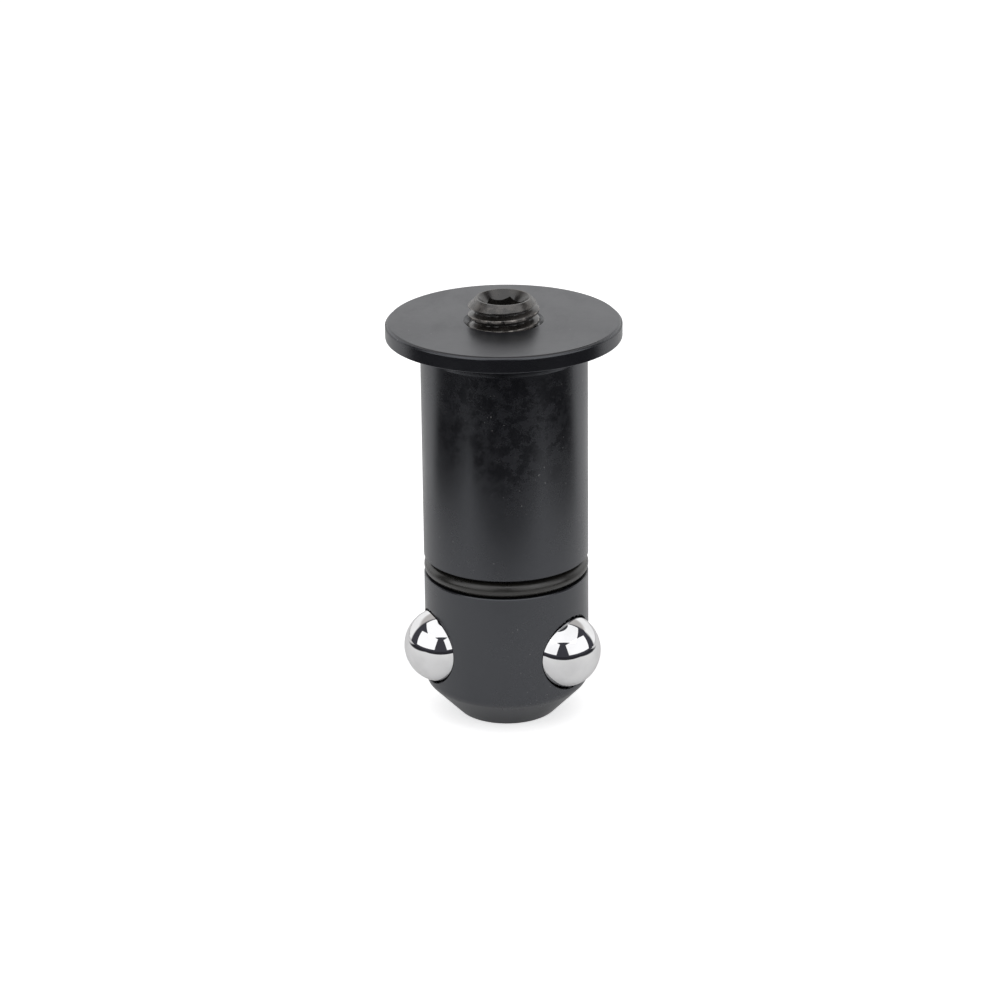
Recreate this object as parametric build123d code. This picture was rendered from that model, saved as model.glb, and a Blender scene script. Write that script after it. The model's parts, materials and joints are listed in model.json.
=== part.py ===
"""Ball lock pin for a 28 mm fixture-plate bushing.

A flanged steel shank holds three locking balls in radial pockets near its nose.
A set screw drives a spreader cone down the shank's bore, and the cone pushes the
balls out until they meet the retaining lips of their pockets.

Millimetres. +Z runs up the shank, the origin is the centre of the nose flat.
The balls are modelled fully out, as they stand when the pin is locked.
"""

import os
from math import cos, pi, radians, sin, sqrt, tan

from build123d import *

# ---- Shank and flange ----
SHANK_DIAMETER = 27.9
TOTAL_HEIGHT = 69.7
FLANGE_DIAMETER = 39.4
FLANGE_THICKNESS = 2.65
FLANGE_TOP_EDGE = 0.2
FLANGE_UNDER_EDGE = 0.35
GRIND_RELIEF_WIDTH = 2.5
GRIND_RELIEF_DEPTH = 0.3

# ---- Lead-in cone at the nose ----
NOSE_CONE_HEIGHT = 5.85
NOSE_CONE_ANGLE = 44.0  # from the shank's axis
NOSE_CONE_BLEND = 2.0
NOSE_FLAT_EDGE = 0.8

# ---- O-ring and its groove ----
O_RING_CORD = 2.62
O_RING_STAND_OUT = 0.02  # past the shank's surface
GROOVE_CENTRE_Z = 26.95
GROOVE_WIDTH = 3.2
GROOVE_EDGE_BREAK = 0.15

# ---- Locking balls and their pockets ----
BALL_COUNT = 3
FIRST_BALL_ANGLE = 90.0  # from +X towards +Y
BALL_DIAMETER = 12.7
BALL_HEIGHT = 13.3
BALL_CENTRE_RADIUS = 12.03  # from the shank's axis, fully out
BALL_CLEARANCE = 0.1  # between a ball and its pocket, at the lip as well

# ---- Spreader cone ----
CONE_HALF_ANGLE = 30.0
CONE_CONTACT_GAP = 0.02  # between the cone's flank and a ball
CONE_SHOULDER = 0.25  # flank left above the balls' contact line
CONE_NOSE_RADIUS = 1.4
GUIDE_LENGTH = 9.5
GUIDE_CLEARANCE = 0.05
GUIDE_EDGE = 0.5
STEM_DIAMETER = 9.8
STEM_EDGE = 0.4

# ---- Set screw, M12, and its tapped hole ----
SCREW_DIAMETER = 11.85
SCREW_LENGTH = 30.0
SCREW_STAND_OUT = 3.95  # above the flange, locked
SCREW_PITCH = 1.75
SCREW_CLEARANCE = 0.05
SCREW_RIM_DIAMETER = 9.7
SCREW_POINT_DIAMETER = 8.5
SCREW_THRUST_GAP = 0.02
SOCKET_ACROSS_FLATS = 6.0
SOCKET_DEPTH = 6.0
SOCKET_TURN = 19.4  # a corner of the socket, from +X towards +Y
SOCKET_CUP_DEPTH = 0.8
SOCKET_CUP_MARGIN = 0.12  # width of the rim left round the cup
SOCKET_DRILL_ANGLE = 59.0  # of the socket's bottom, from the axis
TAPPED_HOLE_SINK_DIAMETER = 13.4

# ---- Nose bore and plug ----
PLUG_THICKNESS = 3.2
PLUG_RECESS = 0.15
PLUG_EDGE = 0.3
BORE_END_CLEARANCE = 0.8  # left above the guide when the balls are in

# ---- Worked out ----
shank_r = SHANK_DIAMETER / 2
flange_r = FLANGE_DIAMETER / 2
flange_under_z = TOTAL_HEIGHT - FLANGE_THICKNESS
nose_flat_r = shank_r - NOSE_CONE_HEIGHT * tan(radians(NOSE_CONE_ANGLE))
relief_r = shank_r - GRIND_RELIEF_DEPTH
o_ring_r = shank_r + O_RING_STAND_OUT - O_RING_CORD / 2
groove_floor_r = o_ring_r - O_RING_CORD / 2

ball_r = BALL_DIAMETER / 2
pocket_r = ball_r + BALL_CLEARANCE
ball_angles = [FIRST_BALL_ANGLE + n * 360 / BALL_COUNT for n in range(BALL_COUNT)]

cone_slope = tan(radians(CONE_HALF_ANGLE))
contact_r = BALL_CENTRE_RADIUS - (ball_r + CONE_CONTACT_GAP) * cos(radians(CONE_HALF_ANGLE))
contact_z = BALL_HEIGHT + (ball_r + CONE_CONTACT_GAP) * sin(radians(CONE_HALF_ANGLE))
guide_r = contact_r + CONE_SHOULDER
guide_z = contact_z + CONE_SHOULDER / cone_slope
guide_top_z = guide_z + GUIDE_LENGTH
bore_r = guide_r + GUIDE_CLEARANCE

# the balls are in when none of them stands past the shank
ball_travel = BALL_CENTRE_RADIUS + ball_r + CONE_CONTACT_GAP - shank_r
cone_travel = ball_travel / cone_slope
screw_turns = cone_travel / SCREW_PITCH
bore_top_z = guide_top_z + cone_travel + BORE_END_CLEARANCE

screw_r = SCREW_DIAMETER / 2
screw_top_z = TOTAL_HEIGHT + SCREW_STAND_OUT
screw_bottom_z = screw_top_z - SCREW_LENGTH
tapped_r = screw_r + SCREW_CLEARANCE
stem_top_z = screw_bottom_z - SCREW_THRUST_GAP


def ring_edges(solid, radius, z):
    """The full circles of one radius, centred on the Z axis, at one height."""
    circles = solid.edges().filter_by(GeomType.CIRCLE)
    return circles.filter_by(
        lambda e: abs(e.arc_center.Z - z) < 1e-4
        and abs(e.radius - radius) < 1e-4
        and abs(e.length - 2 * pi * radius) < 1e-3
    )


def turned(points):
    """A solid of revolution about Z from the (radius, z) corners of its half section."""
    outline = Polyline(*[(r, 0, z) for r, z in points], close=True)
    return revolve(make_face(outline), Axis.Z)


def drilled(radius, bottom_z, top_z):
    """A cylinder on the Z axis between two heights."""
    return Pos(0, 0, bottom_z) * extrude(Circle(radius), top_z - bottom_z)


def shank_blank():
    """Nose cone, shank, O-ring groove, grinding relief and flange, turned in one piece."""
    groove_low = GROOVE_CENTRE_Z - GROOVE_WIDTH / 2
    groove_high = GROOVE_CENTRE_Z + GROOVE_WIDTH / 2
    relief_low = flange_under_z - GRIND_RELIEF_WIDTH
    blank = turned(
        [
            (0, 0),
            (nose_flat_r, 0),
            (shank_r, NOSE_CONE_HEIGHT),
            (shank_r, groove_low),
            (groove_floor_r, groove_low),
            (groove_floor_r, groove_high),
            (shank_r, groove_high),
            (shank_r, relief_low),
            (relief_r, relief_low + GRIND_RELIEF_DEPTH),
            (relief_r, flange_under_z),
            (flange_r, flange_under_z),
            (flange_r, TOTAL_HEIGHT),
            (0, TOTAL_HEIGHT),
        ]
    )
    blank = fillet(ring_edges(blank, shank_r, NOSE_CONE_HEIGHT), NOSE_CONE_BLEND)
    blank = fillet(ring_edges(blank, nose_flat_r, 0), NOSE_FLAT_EDGE)
    blank = chamfer(ring_edges(blank, flange_r, TOTAL_HEIGHT), FLANGE_TOP_EDGE)
    blank = fillet(ring_edges(blank, flange_r, flange_under_z), FLANGE_UNDER_EDGE)
    for z in (groove_low, groove_high):
        blank = chamfer(ring_edges(blank, shank_r, z), GROOVE_EDGE_BREAK)
    return blank


def ball_pocket(angle):
    """A radial hole whose outer end is a sphere round the ball, so that it leaves a lip."""
    reach = Pos(0, 0, BALL_HEIGHT) * Rot(0, 90, 0) * extrude(Circle(pocket_r), BALL_CENTRE_RADIUS)
    mouth = Pos(BALL_CENTRE_RADIUS, 0, BALL_HEIGHT) * Sphere(pocket_r)
    return Rot(0, 0, angle) * (reach + mouth)


def pin_body():
    body = shank_blank()
    body -= drilled(bore_r, 0, bore_top_z)
    body -= drilled(tapped_r, bore_top_z, TOTAL_HEIGHT)
    sink_r = TAPPED_HOLE_SINK_DIAMETER / 2
    body -= turned(
        [
            (0, TOTAL_HEIGHT - (sink_r - tapped_r)),
            (tapped_r, TOTAL_HEIGHT - (sink_r - tapped_r)),
            (sink_r, TOTAL_HEIGHT),
            (0, TOTAL_HEIGHT),
        ]
    )
    for angle in ball_angles:
        body -= ball_pocket(angle)
    return body


def o_ring():
    section = Pos(o_ring_r, 0, GROOVE_CENTRE_Z) * Rot(90, 0, 0) * Circle(O_RING_CORD / 2)
    return revolve(section, Axis.Z)


def nose_plug():
    plug = drilled(bore_r, PLUG_RECESS, PLUG_THICKNESS)
    return chamfer(ring_edges(plug, bore_r, PLUG_RECESS), PLUG_EDGE)


def spreader_cone():
    """Cone, guide and stem, turned in one piece, with a rounded tip."""
    apex_z = guide_z - guide_r / cone_slope
    cone = turned(
        [
            (0, apex_z),
            (guide_r, guide_z),
            (guide_r, guide_top_z - GUIDE_EDGE),
            (guide_r - GUIDE_EDGE, guide_top_z),
            (STEM_DIAMETER / 2, guide_top_z),
            (STEM_DIAMETER / 2, stem_top_z - STEM_EDGE),
            (STEM_DIAMETER / 2 - STEM_EDGE, stem_top_z),
            (0, stem_top_z),
        ]
    )
    # the tip is the sphere that touches the flank all round
    tip_centre_z = apex_z + CONE_NOSE_RADIUS / sin(radians(CONE_HALF_ANGLE))
    touch_z = tip_centre_z - CONE_NOSE_RADIUS * sin(radians(CONE_HALF_ANGLE))
    cone -= drilled(guide_r, apex_z - 1, touch_z)
    ball = Pos(0, 0, tip_centre_z) * Sphere(CONE_NOSE_RADIUS)
    return cone + ball


def hex_socket():
    """Hexagonal hole with a cup at its mouth and a drilled point at its bottom."""
    corner_r = SOCKET_ACROSS_FLATS / sqrt(3)
    cup_r = SCREW_RIM_DIAMETER / 2 - SOCKET_CUP_MARGIN
    cup_z = screw_top_z - SOCKET_CUP_DEPTH
    floor_z = screw_top_z - SOCKET_DEPTH
    flats_r = SOCKET_ACROSS_FLATS / 2
    point_z = floor_z - flats_r / tan(radians(SOCKET_DRILL_ANGLE))
    outline = Rot(0, 0, SOCKET_TURN) * RegularPolygon(corner_r, 6)
    socket = Pos(0, 0, floor_z) * extrude(outline, SOCKET_DEPTH)
    cup = turned([(0, cup_z), (corner_r, cup_z), (cup_r, screw_top_z), (0, screw_top_z)])
    point = turned([(0, point_z), (flats_r, floor_z), (0, floor_z)])
    return socket + cup + point


def set_screw():
    """The screw to the crests of its thread, chamfered at both ends."""
    rim_r = SCREW_RIM_DIAMETER / 2
    point_r = SCREW_POINT_DIAMETER / 2
    screw = turned(
        [
            (0, screw_bottom_z),
            (point_r, screw_bottom_z),
            (screw_r, screw_bottom_z + (screw_r - point_r)),
            (screw_r, screw_top_z - (screw_r - rim_r)),
            (rim_r, screw_top_z),
            (0, screw_top_z),
        ]
    )
    return screw - hex_socket()


def locking_ball(angle):
    return Rot(0, 0, angle) * Pos(BALL_CENTRE_RADIUS, 0, BALL_HEIGHT) * Sphere(ball_r)


nodes = {
    "pin_body": pin_body(),
    "o_ring": o_ring(),
    "nose_plug": nose_plug(),
    "spreader_cone": spreader_cone(),
    "set_screw": set_screw(),
}
for number, angle in enumerate(ball_angles, start=1):
    nodes[f"locking_ball_{number}"] = locking_ball(angle)

os.makedirs("parts", exist_ok=True)
for name, solid in nodes.items():
    export_step(solid, f"parts/{name}.step")

print(f"cone travel {cone_travel:.4f}, ball travel {ball_travel:.4f}, screw turns {screw_turns:.4f}")
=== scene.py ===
"""Looks of the ball lock pin, in metres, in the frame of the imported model.

Four pieces are made here. The set screw is replaced by one with a real thread, and the
tapped hole gets its internal thread. The pin's body is replaced by a copy of its mesh
with finished edges, and the O-ring by one that has settled in its groove. The balls, the
cone and the plug keep their shapes and get materials.
"""

import json
from math import cos, pi, radians, sin, sqrt, tan

import bpy
from mathutils import Matrix, Vector


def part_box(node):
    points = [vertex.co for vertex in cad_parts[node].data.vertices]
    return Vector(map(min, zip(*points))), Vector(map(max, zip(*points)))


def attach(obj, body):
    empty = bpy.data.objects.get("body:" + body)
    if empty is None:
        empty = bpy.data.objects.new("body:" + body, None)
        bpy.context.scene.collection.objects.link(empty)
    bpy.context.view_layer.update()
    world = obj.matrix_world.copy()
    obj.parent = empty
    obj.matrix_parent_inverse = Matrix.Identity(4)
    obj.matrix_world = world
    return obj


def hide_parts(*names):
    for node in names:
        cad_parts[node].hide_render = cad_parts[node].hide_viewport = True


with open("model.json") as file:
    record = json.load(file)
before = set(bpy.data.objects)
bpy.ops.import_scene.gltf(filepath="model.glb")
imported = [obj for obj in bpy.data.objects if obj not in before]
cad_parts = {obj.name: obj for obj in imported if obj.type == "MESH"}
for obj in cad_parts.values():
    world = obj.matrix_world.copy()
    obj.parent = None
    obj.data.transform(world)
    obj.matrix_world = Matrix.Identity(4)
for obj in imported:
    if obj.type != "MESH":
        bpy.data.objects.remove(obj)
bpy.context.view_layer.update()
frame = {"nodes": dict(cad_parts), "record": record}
MM = 0.001

# ---- Sizes read from the frame ----
body_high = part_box("pin_body")[1]
screw_low, screw_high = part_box("set_screw")
FLANGE_R = body_high.x
FLANGE_TOP = body_high.z
SCREW_TOP = screw_high.z
SCREW_BOTTOM = screw_low.z
SCREW_R = (screw_high.x - screw_low.x) / 2
couplings = frame["record"]["behaviour"]["couplings"]
turn_ratio = next(c["ratio"] for c in couplings if c["joint"] == "screw_turn")
PITCH = 2 * pi / turn_ratio

# ---- Set screw, tapped hole and O-ring ----
THREAD_DEPTH = 0.58 * PITCH
THREAD_CREST = 0.20 * PITCH  # width of the flat on a crest
THREAD_ROOT = 0.16 * PITCH  # width of the flat in a groove
THREAD_STRAIGHT = 0.6  # share of a flank that is straight, the rest being rounded
THREAD_GAP = 0.05 * MM  # between the screw and the tapped hole
THREAD_START = -0.27 * MM  # height of a crest on the side of +X
SEGMENTS = 144  # points in every ring of the pieces made here
THREAD_ROWS = 20  # mesh rows in one pitch
RIM_R = 4.55 * MM  # inner edge of the chamfer at the screw's top
CUP_R = 4.30 * MM  # widest part of the cone that leads into the socket
CUP_EDGE = 0.03 * MM  # tiny break between the rim and the cup
CUP_ANGLE = radians(42.0)  # from the screw's axis
CUP_ROWS = (0.33, 0.67, 1.0)  # shares of the way from the cup's edge to the flats
POINT_R = 4.25 * MM  # the screw's flat lower end
POINT_CENTRE_R = 0.05 * MM
SOCKET_FLATS = 6.0 * MM
SOCKET_DEPTH = 6.0 * MM
SOCKET_TURN = radians(19.4)
SOCKET_DRILL = radians(59.0)  # half angle of the drill's point
SOCKET_DRILL_SHARE = 0.995  # the drilled point's width against the flats
HOLE_THREAD_TURNS = 6
HOLE_THREAD_TOP = 0.76 * MM  # below the flange's top, under the countersink
HOLE_THREAD_OUTER = 0.25 * MM  # how far the thread's ring reaches into the pin's metal
O_RING_ROWS = 40
O_RING_SETTLE = 0.41 * MM  # the ring has dropped on to the groove's lower wall
O_RING_UNEVEN = 0.012 * MM
SMOOTH_ANGLE = radians(32)  # sharper edges than this stay sharp

# ---- Edges of the pin's body: CAD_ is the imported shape, the rest the finished one ----
SHANK_R = 13.95 * MM
FLANGE_UNDER = FLANGE_TOP - 2.65 * MM
CAD_TOP_EDGE = 0.2 * MM
TOP_EDGE = 0.55 * MM
CAD_UNDER_EDGE = 0.35 * MM
UNDER_EDGE = 0.12 * MM
CAD_RELIEF_DEPTH = 0.3 * MM
CAD_RELIEF_WIDTH = 2.5 * MM
RELIEF_DEPTH = 0.2 * MM
RELIEF_WIDTH = 2.3 * MM
RELIEF_RUN_OUT = radians(25.0)
GROOVE_LOW = 25.1 * MM  # heights just outside the groove's rings
GROOVE_HIGH = 28.8 * MM
GROOVE_DROP = 0.14 * MM
POCKET_CLEARANCE = 0.1 * MM  # between a ball and its pocket
POCKET_SINK = 0.40 * MM  # how much higher and lower the pockets' mouths are broken
NEAR_RING = 0.02 * MM  # a mesh point this near to a named ring is on it
NEAR_POCKET = 0.01 * MM
THIN_FACE = 0.05 * MM  # faces lower than this keep their own normals

# ---- Camera ----
CAMERA_AZIMUTH = radians(7.76)
CAMERA_ELEVATION = radians(21.08)
CAMERA_DISTANCE = 0.6104
CAMERA_AIM = Vector((0, 0, 0.0377))
CAMERA_ROLL = radians(0.61)
CAMERA_LENS = 130.2
CAMERA_SENSOR = 36
CAMERA_SHIFT = -0.0056

# ---- Studio ----
FLOOR_SIZE = 6.0
TABLE_FRONT = 0.098  # from the pin's axis to where the lit table ends and the floor's painted shade begins, towards the camera
TABLE_FRONT_BLUR = 0.006
TABLE_SIDE = 0.115  # and to the left and right, abreast of the pin
TABLE_SIDE_BLUR = 0.02
# Painted light: the table glows faintly to reflections, though it is no lamp.
TABLE_PAINTED_GLOW = 0.10
CAMERA_GLOW = 0.62  # makes the floor white to the camera
PANEL_RADIANCE = 1.05
PANEL_DISTANCE = 0.9
# Name, degrees round from the camera, degrees up, width and height.
PANELS = (
    ("panel_left", -51.5, 23.5, 1.10, 0.64),
    ("panel_right", 51, 23.5, 1.30, 0.64),
    ("panel_top", 0, 76, 1.55, 1.15),
)


# ---- Node graphs ----
class Graph:
    """A material's or world's node tree, with short ways to add and join nodes."""

    def __init__(self, owner):
        owner.use_nodes = True
        self.owner = owner
        self.tree = owner.node_tree
        self.shader = self.tree.nodes.get("Principled BSDF")
        self.coords = self.tree.nodes.new("ShaderNodeTexCoord").outputs

    def node(self, kind, **settings):
        made = self.tree.nodes.new(kind)
        for key, value in settings.items():
            setattr(made, key, value)
        return made

    def join(self, source, target):
        if isinstance(source, bpy.types.NodeSocket):
            self.tree.links.new(source, target)
        else:
            target.default_value = source

    def math(self, operation, first, second=0.0):
        made = self.node("ShaderNodeMath", operation=operation)
        self.join(first, made.inputs[0])
        self.join(second, made.inputs[1])
        return made.outputs[0]

    def times(self, first, second):
        return self.math("MULTIPLY", first, second)

    def length(self, *parts):
        """The length of a vector whose parts are these sockets."""
        total = self.times(parts[0], parts[0])
        for part in parts[1:]:
            total = self.math("ADD", total, self.times(part, part))
        return self.math("SQRT", total)

    def xyz(self, vector):
        made = self.node("ShaderNodeSeparateXYZ")
        self.join(vector, made.inputs[0])
        return made.outputs

    def noise(self, scale, detail=2.0, roughness=0.5, stretch=(1, 1, 1), offset=(0, 0, 0)):
        mapping = self.node("ShaderNodeMapping")
        mapping.inputs["Scale"].default_value = stretch
        mapping.inputs["Location"].default_value = offset
        self.join(self.coords["Object"], mapping.inputs["Vector"])
        made = self.node("ShaderNodeTexNoise")
        self.join(mapping.outputs[0], made.inputs["Vector"])
        made.inputs["Scale"].default_value = scale
        made.inputs["Detail"].default_value = detail
        made.inputs["Roughness"].default_value = roughness
        return made.outputs["Fac"]

    def ramp(self, value, low, high, bottom=0.0, top=1.0):
        """A smooth step from bottom to top, as the value goes from low to high."""
        made = self.node("ShaderNodeMapRange", interpolation_type="SMOOTHSTEP")
        self.join(value, made.inputs["Value"])
        made.inputs["From Min"].default_value = low
        made.inputs["From Max"].default_value = high
        made.inputs["To Min"].default_value = bottom
        made.inputs["To Max"].default_value = top
        return made.outputs["Result"]

    def mix(self, share, first, second):
        made = self.node("ShaderNodeMix", data_type="RGBA")
        self.join(share, made.inputs["Factor"])
        colours = [s for s in made.inputs if s.type == "RGBA"]
        self.join(first, colours[0])
        self.join(second, colours[1])
        return next(s for s in made.outputs if s.type == "RGBA")

    def bump(self, height, distance, strength=1.0):
        made = self.node("ShaderNodeBump")
        made.inputs["Distance"].default_value = distance
        made.inputs["Strength"].default_value = strength
        self.join(height, made.inputs["Height"])
        self.join(made.outputs[0], self.shader.inputs["Normal"])

    def set(self, **values):
        """Sets or joins the shader's sockets, with _ for each space in a name."""
        for name, value in values.items():
            self.join(value, self.shader.inputs[name.replace("_", " ")])


def new_material(name):
    return Graph(bpy.data.materials.new(name))


def tone(red, green, blue):
    return (red, green, blue, 1.0)


# ---- Materials ----
HANDLED_SPOT = Vector((0.0025, -0.0137, 0.0555))  # middle of the oily finger marks
OXIDE_DARK = tone(0.0085, 0.0088, 0.0103)
OXIDE_LIGHT = tone(0.0125, 0.0128, 0.0148)
OILY = tone(0.003, 0.003, 0.0035)
SPECK = tone(0.22, 0.215, 0.21)
SCUFFED = tone(0.07, 0.07, 0.072)


def black_oxide():
    """Satin black steel with oily smudges, faint handling marks and tiny light specks."""
    g = new_material("black_oxide_steel")
    x, y, z = g.xyz(g.coords["Object"])
    away = [g.math("SUBTRACT", part, middle) for part, middle in zip((x, y, z), HANDLED_SPOT)]
    touched = g.ramp(g.length(*away), 0.0155, 0.0085)
    region = g.math("MAXIMUM", touched, g.ramp(g.noise(75, 2, 0.5), 0.54, 0.64))
    blotch = g.ramp(g.noise(430, 7, 0.75), 0.44, 0.56)
    band = g.times(g.ramp(z, 0.039, 0.048), g.ramp(z, 0.0644, 0.0638))
    handled = g.times(g.times(blotch, region), band)
    cloud = g.noise(60, 4, 0.55, offset=(3, 1, 2))
    speck = g.times(g.ramp(g.noise(1900, 1, 0.5), 0.765, 0.785), g.ramp(cloud, 0.5, 0.6))
    on_top = g.ramp(z, FLANGE_TOP - 0.3 * MM, FLANGE_TOP - 0.1 * MM)
    smear = g.ramp(g.noise(210, 6, 0.7, stretch=(1, 0.45, 1)), 0.50, 0.66)
    scratch = g.noise(330, 3, 0.6, stretch=(1, 0.12, 1), offset=(0.4, 0.3, 0))
    scuffs = g.math("MAXIMUM", g.times(smear, 0.5), g.ramp(scratch, 0.69, 0.71))
    marks = g.times(on_top, scuffs)

    base = g.mix(g.ramp(cloud, 0.35, 0.7), OXIDE_DARK, OXIDE_LIGHT)
    base = g.mix(g.times(handled, 0.65), base, OILY)
    base = g.mix(g.times(speck, 0.8), base, SPECK)
    g.set(Base_Color=g.mix(g.times(marks, 0.32), base, SCUFFED))

    rough = g.math("ADD", g.ramp(cloud, 0.3, 0.7, 0.20, 0.26), g.times(g.noise(900, 3, 0.6), 0.06))
    rough = g.math("SUBTRACT", rough, g.times(handled, 0.07))
    rough = g.math("ADD", rough, g.times(on_top, 0.07))
    g.set(Roughness=g.math("ADD", rough, g.times(marks, 0.10)))
    g.set(IOR=1.6, Specular_IOR_Level=0.85, Specular_Tint=tone(0.90, 0.93, 1.0))
    g.bump(g.noise(3800, 3, 0.6), 0.004 * MM, 0.5)
    return g.owner


def worn_thread_steel():
    """Brownish black screw whose crests and rim are rubbed bright."""
    g = new_material("worn_black_steel")
    x, y, z = g.xyz(g.coords["Object"])
    radius = g.length(x, y)
    crest = g.ramp(radius, SCREW_R - 0.22 * MM, SCREW_R - 0.02 * MM)
    end = g.times(g.ramp(z, SCREW_TOP - 1.9 * MM, SCREW_TOP - 0.9 * MM), 0.25)
    end = g.times(end, g.ramp(radius, CUP_R - 0.1 * MM, CUP_R + 0.1 * MM))
    rub = g.ramp(g.noise(700, 5, 0.65), 0.40, 0.62)
    worn = g.times(g.math("MAXIMUM", crest, end), rub)
    grime = g.noise(420, 4, 0.6)
    base = g.mix(g.ramp(grime, 0.35, 0.7), tone(0.016, 0.0145, 0.013), tone(0.045, 0.040, 0.036))
    g.set(Base_Color=g.mix(g.times(worn, 0.8), base, tone(0.42, 0.39, 0.36)))
    g.set(Metallic=g.times(worn, 0.8), Roughness=g.ramp(grime, 0.3, 0.7, 0.16, 0.34))
    g.set(Specular_IOR_Level=0.9)
    g.bump(g.noise(2400, 4, 0.6), 0.012 * MM, 0.6)
    return g.owner


def mirror_steel():
    """Polished bearing steel."""
    g = new_material("bearing_steel")
    g.set(Metallic=1.0)
    haze = g.noise(300, 3, 0.5)
    bright, dull = tone(0.90, 0.90, 0.905), tone(0.82, 0.82, 0.825)
    g.set(Base_Color=g.mix(g.ramp(haze, 0.4, 0.75), bright, dull))
    g.set(Roughness=g.ramp(haze, 0.45, 0.75, 0.012, 0.035))
    return g.owner


def rubber():
    """Oiled black nitrile."""
    g = new_material("black_rubber")
    film = g.noise(160, 3, 0.6)
    g.set(Base_Color=g.mix(film, tone(0.012, 0.012, 0.011), tone(0.022, 0.020, 0.016)))
    g.set(Roughness=g.ramp(film, 0.35, 0.7, 0.24, 0.38))
    g.set(Specular_IOR_Level=0.8)
    g.bump(g.noise(1800, 2, 0.5), 0.006 * MM, 0.4)
    return g.owner


def ground_steel():
    """Hardened steel of the hidden cone, with turning marks round its axis."""
    g = new_material("hardened_steel")
    g.set(Metallic=1.0)
    lines = g.noise(900, 3, 0.5, stretch=(0.05, 0.05, 1))
    g.set(Base_Color=g.mix(lines, tone(0.42, 0.42, 0.43), tone(0.55, 0.55, 0.56)))
    g.set(Roughness=g.ramp(lines, 0.3, 0.7, 0.2, 0.32))
    g.bump(lines, 0.003 * MM, 0.5)
    return g.owner


MATERIALS = {
    "black_oxide_steel": black_oxide(),
    "worn_black_steel": worn_thread_steel(),
    "bearing_steel": mirror_steel(),
    "black_rubber": rubber(),
    "hardened_steel": ground_steel(),
}


def dress(piece, slot):
    piece.data.materials.clear()
    piece.data.materials.append(MATERIALS[slot])


def link(name, data):
    """A new object of the scene."""
    made = bpy.data.objects.new(name, data)
    bpy.context.scene.collection.objects.link(made)
    return made


for part in frame["record"]["subparts"]:
    dress(frame["nodes"][part["node"]], part["material_slot"])


# ---- Mesh helpers ----
ANGLES = [SOCKET_TURN + 2 * pi * n / SEGMENTS for n in range(SEGMENTS)]


def ring(radius, z):
    return [(radius * cos(a), radius * sin(a), z) for a in ANGLES]


def add_piece(name, mesh, body, slot, replaces=None):
    """A finished mesh as a piece that rides on a body and may stand for a CAD node."""
    piece = link(name, mesh)
    dress(piece, slot)
    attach(piece, body)
    if replaces:
        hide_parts(replaces)


def smooth(mesh):
    mesh.polygons.foreach_set("use_smooth", [True] * len(mesh.polygons))


class Rows:
    """A tube of mesh rows, each a closed ring of the same number of points."""

    def __init__(self):
        self.vertices = []
        self.faces = []
        self.rows = []

    def row(self, points):
        start = len(self.vertices)
        self.vertices += points
        self.rows.append(start)
        if len(self.rows) > 1:
            self.bridge(self.rows[-2], start)

    def bridge(self, below, above):
        """Joins two rings with a band of faces."""
        for n in range(SEGMENTS):
            m = (n + 1) % SEGMENTS
            self.faces.append((below + n, below + m, above + m, above + n))

    def cap(self, z, turned_over=False):
        """Closes the last ring with one centre point."""
        start = self.rows[-1]
        centre = len(self.vertices)
        self.vertices.append((0, 0, z))
        for n in range(SEGMENTS):
            face = (start + n, start + (n + 1) % SEGMENTS, centre)
            self.faces.append(face[::-1] if turned_over else face)

    def close(self):
        """Joins the last ring to the first, and turns the faces outward."""
        self.bridge(self.rows[-1], self.rows[0])
        self.faces = [face[::-1] for face in self.faces]

    def mesh(self, name):
        mesh = bpy.data.meshes.new(name)
        mesh.from_pydata(self.vertices, [], self.faces)
        mesh.validate()
        mesh.update()
        smooth(mesh)
        mesh.set_sharp_from_angle(angle=SMOOTH_ANGLE)
        return mesh


def thread_fall(z, angle):
    """How far the thread's surface is below its crests, at a height and an angle round the axis.

    The screw and its hole share it, so they keep clear of each other as the screw turns.
    """
    turns = z / PITCH - angle / (2 * pi)
    along = abs((turns - THREAD_START / PITCH + 0.5) % 1.0 - 0.5) * PITCH
    flank = (PITCH - THREAD_CREST - THREAD_ROOT) / 2
    slope = (along - THREAD_CREST / 2) / flank
    slope = min(max(slope, 0.0), 1.0)
    rounded = slope * slope * (3 - 2 * slope)
    return THREAD_DEPTH * (THREAD_STRAIGHT * slope + (1 - THREAD_STRAIGHT) * rounded)


def threaded_rows(rows, low, high, count, radius):
    """Adds rows from one height to another, with a radius for each height and angle."""
    for k in range(count + 1):
        z = low + (high - low) * k / count
        reach = [(radius(z, a), a) for a in ANGLES]
        rows.row([(r * cos(a), r * sin(a), z) for r, a in reach])


# ---- Pieces ----
def screw_radius(z, angle):
    """The screw's thread, cut off by the chamfers at its ends."""
    top = RIM_R + (SCREW_TOP - z)
    bottom = POINT_R + (z - SCREW_BOTTOM)
    return min(SCREW_R - thread_fall(z, angle), SCREW_R, top, bottom)


def hole_radius(z, angle):
    return SCREW_R + THREAD_GAP - thread_fall(z, angle)


def hexagon():
    """The radius of the socket's six flats at each angle."""
    reach = SOCKET_FLATS / 2
    return [(reach / cos((a - SOCKET_TURN) % (pi / 3) - pi / 6), a) for a in ANGLES]


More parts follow.
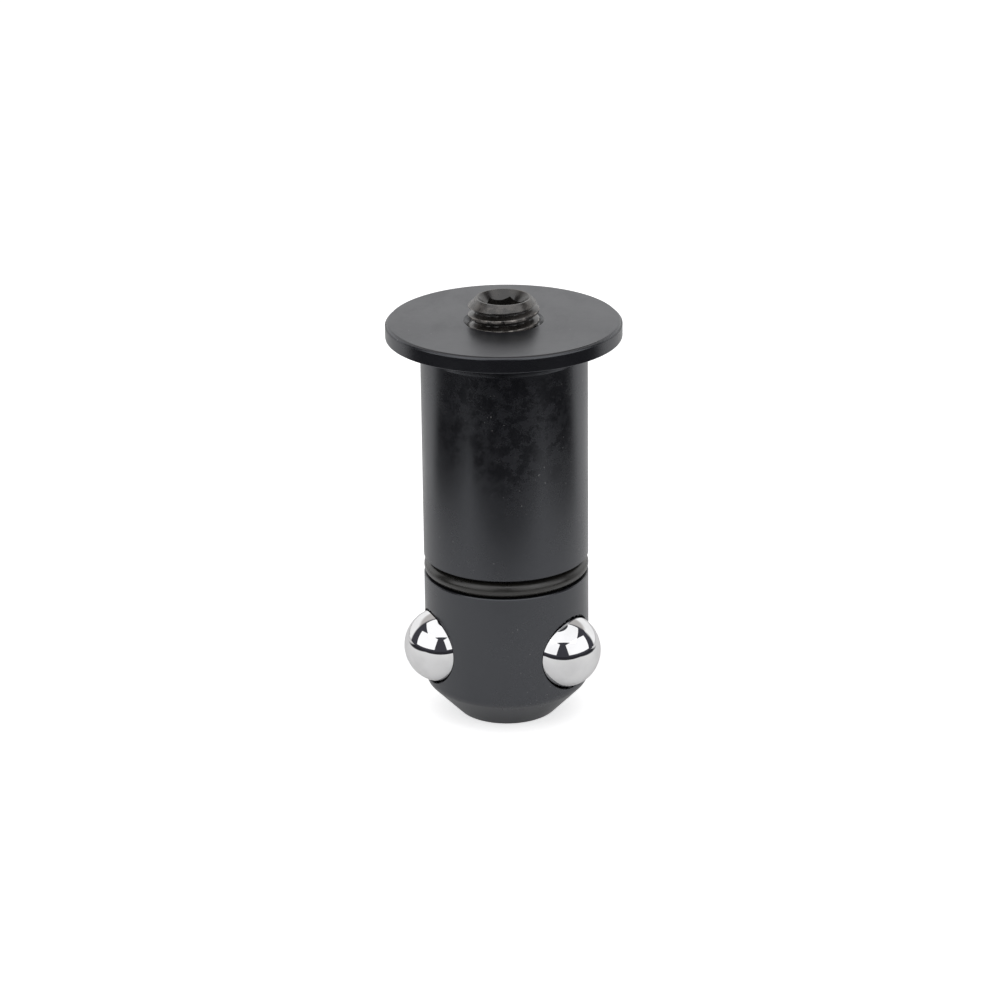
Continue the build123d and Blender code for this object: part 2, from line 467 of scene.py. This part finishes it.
def threaded_screw():
    """Point, helical thread, rim, cup and hexagonal socket, as one closed mesh."""
    rows = Rows()
    rows.row(ring(POINT_CENTRE_R, SCREW_BOTTOM))
    rows.cap(SCREW_BOTTOM, turned_over=True)
    rows.row(ring(POINT_R / 2, SCREW_BOTTOM))
    count = int((SCREW_TOP - SCREW_BOTTOM) / PITCH * THREAD_ROWS)
    threaded_rows(rows, SCREW_BOTTOM, SCREW_TOP, count, screw_radius)
    rows.row(ring((RIM_R + CUP_R) / 2, SCREW_TOP))
    rows.row(ring(CUP_R, SCREW_TOP - CUP_EDGE))
    for share in CUP_ROWS:
        cone = []
        for flat_r, a in hexagon():
            r = CUP_R + (flat_r - CUP_R) * share
            drop = (CUP_R - r) / tan(CUP_ANGLE) + CUP_EDGE
            cone.append((r * cos(a), r * sin(a), SCREW_TOP - drop))
        rows.row(cone)
    floor_z = SCREW_TOP - SOCKET_DEPTH
    rows.row([(r * cos(a), r * sin(a), floor_z) for r, a in hexagon()])
    rows.row(ring(SOCKET_FLATS / 2 * SOCKET_DRILL_SHARE, floor_z))
    rows.cap(floor_z - SOCKET_FLATS / 2 / tan(SOCKET_DRILL))
    name = "threaded_set_screw"
    add_piece(name, rows.mesh(name), "screw", "worn_black_steel", replaces="set_screw")


def tapped_thread():
    """The hole's own thread, which the screw runs in, down to the depth that can be seen."""
    rows = Rows()
    top = FLANGE_TOP - HOLE_THREAD_TOP
    bottom = top - HOLE_THREAD_TURNS * PITCH
    outer = SCREW_R + THREAD_GAP + HOLE_THREAD_OUTER
    rows.row(ring(outer, top))
    rows.row(ring(outer, bottom))
    threaded_rows(rows, bottom, top, HOLE_THREAD_TURNS * THREAD_ROWS, hole_radius)
    rows.close()
    name = "tapped_hole_thread"
    add_piece(name, rows.mesh(name), "pin", "black_oxide_steel")


def settled_o_ring():
    """The O-ring as it lies in its groove, a little uneven round its length."""
    low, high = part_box("o_ring")
    cord_r = (high.z - low.z) / 2
    middle_r = (high.x - low.x) / 2 - cord_r
    middle_z = (high.z + low.z) / 2 - O_RING_SETTLE
    rows = Rows()
    for k in range(O_RING_ROWS):
        t = -2 * pi * k / O_RING_ROWS
        points = []
        for a in ANGLES:
            thickness = cord_r + O_RING_UNEVEN * (sin(3 * a) + sin(7 * a + 1) - 2)
            r = middle_r + thickness * cos(t)
            points.append((r * cos(a), r * sin(a), middle_z + thickness * sin(t)))
        rows.row(points)
    rows.close()
    name = "settled_o_ring"
    add_piece(name, rows.mesh(name), "pin", "black_rubber", replaces="o_ring")


def on_top_edge(r, z):
    return r > FLANGE_R - CAD_TOP_EDGE - NEAR_RING and z > FLANGE_TOP - CAD_TOP_EDGE - NEAR_RING


def finished_profile(r, z):
    """Where a ring of the pin's mesh goes, for the rounder, softer edges of the real pin."""
    if on_top_edge(r, z):
        is_top = z > FLANGE_TOP - NEAR_RING
        return (FLANGE_R - TOP_EDGE, z) if is_top else (r, FLANGE_TOP - TOP_EDGE)
    if r > FLANGE_R - CAD_UNDER_EDGE - NEAR_RING and z < FLANGE_UNDER + CAD_UNDER_EDGE + NEAR_RING:
        share = UNDER_EDGE / CAD_UNDER_EDGE
        return FLANGE_R + (r - FLANGE_R) * share, FLANGE_UNDER + (z - FLANGE_UNDER) * share
    relief_low = FLANGE_UNDER - CAD_RELIEF_WIDTH
    if abs(r - SHANK_R + CAD_RELIEF_DEPTH) < NEAR_RING and z > relief_low:
        at_flange = z > FLANGE_UNDER - NEAR_RING
        return SHANK_R - RELIEF_DEPTH, z if at_flange else FLANGE_UNDER - RELIEF_WIDTH
    if abs(r - SHANK_R) < NEAR_RING and abs(z - relief_low) < NEAR_RING:
        return r, FLANGE_UNDER - RELIEF_WIDTH - RELIEF_DEPTH / tan(RELIEF_RUN_OUT)
    if GROOVE_LOW < z < GROOVE_HIGH:
        return r, z - GROOVE_DROP
    return r, z


def edge_normal(place, is_ramp):
    """The surface's direction at a point of the flange's rounded edge or of the run-out."""
    outward = Vector((place.x, place.y, 0)).normalized()
    if is_ramp:
        return outward * cos(RELIEF_RUN_OUT) + Vector((0, 0, sin(RELIEF_RUN_OUT)))
    return Vector((0, 0, 1)) if place.z > FLANGE_TOP - THIN_FACE else outward


def finished_pin():
    """A copy of the pin's mesh with a rounder flange, a run-out and broken pocket mouths."""
    mesh = frame["nodes"]["pin_body"].data.copy()
    mesh.name = "finished_pin_body"
    normals = [Vector(corner.vector) for corner in mesh.corner_normals]
    balls = [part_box(f"locking_ball_{n}") for n in (1, 2, 3)]
    centres = [(low + high) / 2 for low, high in balls]
    pocket_r = (balls[0][1].z - balls[0][0].z) / 2 + POCKET_CLEARANCE
    edge_rings, ramp_rings = set(), set()
    for vertex in mesh.vertices:
        x, y, z = vertex.co
        r = sqrt(x * x + y * y)
        new_r, new_z = finished_profile(r, z)
        if abs(r - SHANK_R) < NEAR_POCKET:
            for centre in centres:
                if abs((vertex.co - centre).length - pocket_r) < NEAR_POCKET:
                    rise = (z - centre.z) / pocket_r
                    new_z = z + POCKET_SINK * rise * abs(rise)
        if on_top_edge(r, z):
            edge_rings.add(vertex.index)
        if (new_r, new_z) != (r, z) and r < SHANK_R + NEAR_RING and z > GROOVE_HIGH:
            ramp_rings.add(vertex.index)
        if r > 0:
            vertex.co = (x * new_r / r, y * new_r / r, new_z)
    for face in mesh.polygons:
        heights = [mesh.vertices[index].co.z for index in face.vertices]
        is_edge = edge_rings.issuperset(face.vertices)
        is_ramp = ramp_rings.issuperset(face.vertices)
        is_ramp = is_ramp and max(heights) < FLANGE_UNDER - RELIEF_WIDTH / 2
        if max(heights) - min(heights) >= THIN_FACE and (is_edge or is_ramp):
            for corner in face.loop_indices:
                place = mesh.vertices[mesh.loops[corner].vertex_index].co
                normals[corner] = edge_normal(place, is_ramp)
    smooth(mesh)
    mesh.normals_split_custom_set(normals)
    add_piece(mesh.name, mesh, "pin", "black_oxide_steel", replaces="pin_body")


finished_pin()
threaded_screw()
tapped_thread()
settled_o_ring()


# ---- Stage ----
def direction(azimuth, elevation):
    """From the aim towards a place, by its angles in radians round from -Y and up."""
    flat = cos(elevation)
    return Vector((sin(azimuth) * flat, -cos(azimuth) * flat, sin(elevation)))


def facing_aim(away, distance):
    """The matrix of a camera or lamp that looks at the aim from a direction."""
    look = (-away).to_track_quat("-Z", "Y").to_matrix().to_4x4()
    return Matrix.Translation(CAMERA_AIM + away * distance) @ look


def make_camera():
    data = bpy.data.cameras.new("camera")
    data.lens = CAMERA_LENS
    data.sensor_width = CAMERA_SENSOR
    data.shift_x = CAMERA_SHIFT
    data.clip_start = 0.01
    camera = link("camera", data)
    place = facing_aim(direction(CAMERA_AZIMUTH, CAMERA_ELEVATION), CAMERA_DISTANCE)
    camera.matrix_world = place @ Matrix.Rotation(-CAMERA_ROLL, 4, "Z")
    bpy.context.scene.camera = camera


def panel(name, azimuth, elevation, width, height):
    """A softbox that faces the object."""
    data = bpy.data.lights.new(name, "AREA")
    data.shape = "RECTANGLE"
    data.size = width
    data.size_y = height
    data.energy = PANEL_RADIANCE * pi * width * height
    away = direction(radians(azimuth) + CAMERA_AZIMUTH, radians(elevation))
    link(name, data).matrix_world = facing_aim(away, PANEL_DISTANCE)


def make_floor():
    """White to the camera. Reflections see a pale table with a faint painted glow, and past its
    edge, in front of and beside the object, a floor darkened as painted shade for the unlit room.
    """
    mesh = bpy.data.meshes.new("floor")
    h = FLOOR_SIZE / 2
    mesh.from_pydata([(-h, -h, 0), (h, -h, 0), (h, h, 0), (-h, h, 0)], [], [(0, 1, 2, 3)])
    g = new_material("floor")
    x, y = g.xyz(g.coords["Object"])[:2]
    turn_x, turn_y = sin(CAMERA_AZIMUTH), cos(CAMERA_AZIMUTH)
    front = g.math("SUBTRACT", g.times(x, turn_x), g.times(y, turn_y))
    side = g.math("ABSOLUTE", g.math("ADD", g.times(x, turn_y), g.times(y, turn_x)))
    beside = g.ramp(side, TABLE_SIDE - TABLE_SIDE_BLUR, TABLE_SIDE + TABLE_SIDE_BLUR)
    beside = g.times(beside, g.ramp(front, -0.075, -0.02))
    ahead = g.ramp(front, TABLE_FRONT - TABLE_FRONT_BLUR, TABLE_FRONT + TABLE_FRONT_BLUR)
    lit = g.math("SUBTRACT", 1.0, g.math("MAXIMUM", ahead, beside))
    is_camera = g.node("ShaderNodeLightPath").outputs["Is Camera Ray"]
    # Painted shade: past the table's edge the floor is near black to reflections, standing for the
    # unlit room.
    table = g.mix(lit, tone(0.03, 0.03, 0.035), tone(0.78, 0.78, 0.775))
    # Painted light where the table glows to reflections. To the camera the floor is evenly white.
    camera_white_and_painted_glow = g.math("MAXIMUM", g.times(lit, TABLE_PAINTED_GLOW), g.times(is_camera, CAMERA_GLOW))
    g.set(Base_Color=g.mix(is_camera, table, tone(0.9, 0.9, 0.9)), Emission_Strength=camera_white_and_painted_glow)
    g.set(Roughness=1.0, Specular_IOR_Level=0.0, Emission_Color=tone(1, 1, 1))
    mesh.materials.append(g.owner)
    link("floor", mesh)


def make_world():
    """White to the camera, a dim room with a pale wall behind the object to everything else."""
    world = bpy.data.worlds.new("studio")
    bpy.context.scene.world = world
    g = Graph(world)
    background = g.tree.nodes["Background"]
    turn = g.node("ShaderNodeMapping")
    turn.inputs["Rotation"].default_value = (0, 0, -CAMERA_AZIMUTH)
    g.join(g.coords["Generated"], turn.inputs["Vector"])
    y, z = g.xyz(turn.outputs[0])[1:]
    is_behind = g.ramp(y, 0.30, 0.42)
    is_low = g.ramp(z, 0.62, 0.45)
    wall = g.mix(is_low, tone(0.50, 0.48, 0.47), tone(0.95, 0.95, 0.95))
    room = g.mix(is_behind, tone(0.05, 0.05, 0.06), wall)
    is_camera = g.node("ShaderNodeLightPath").outputs["Is Camera Ray"]
    g.join(g.mix(is_camera, room, tone(1, 1, 1)), background.inputs["Color"])
    background.inputs["Strength"].default_value = 1.0


make_camera()
make_floor()
make_world()
for settings in PANELS:
    panel(*settings)

bpy.context.scene.view_settings.view_transform = "Standard"
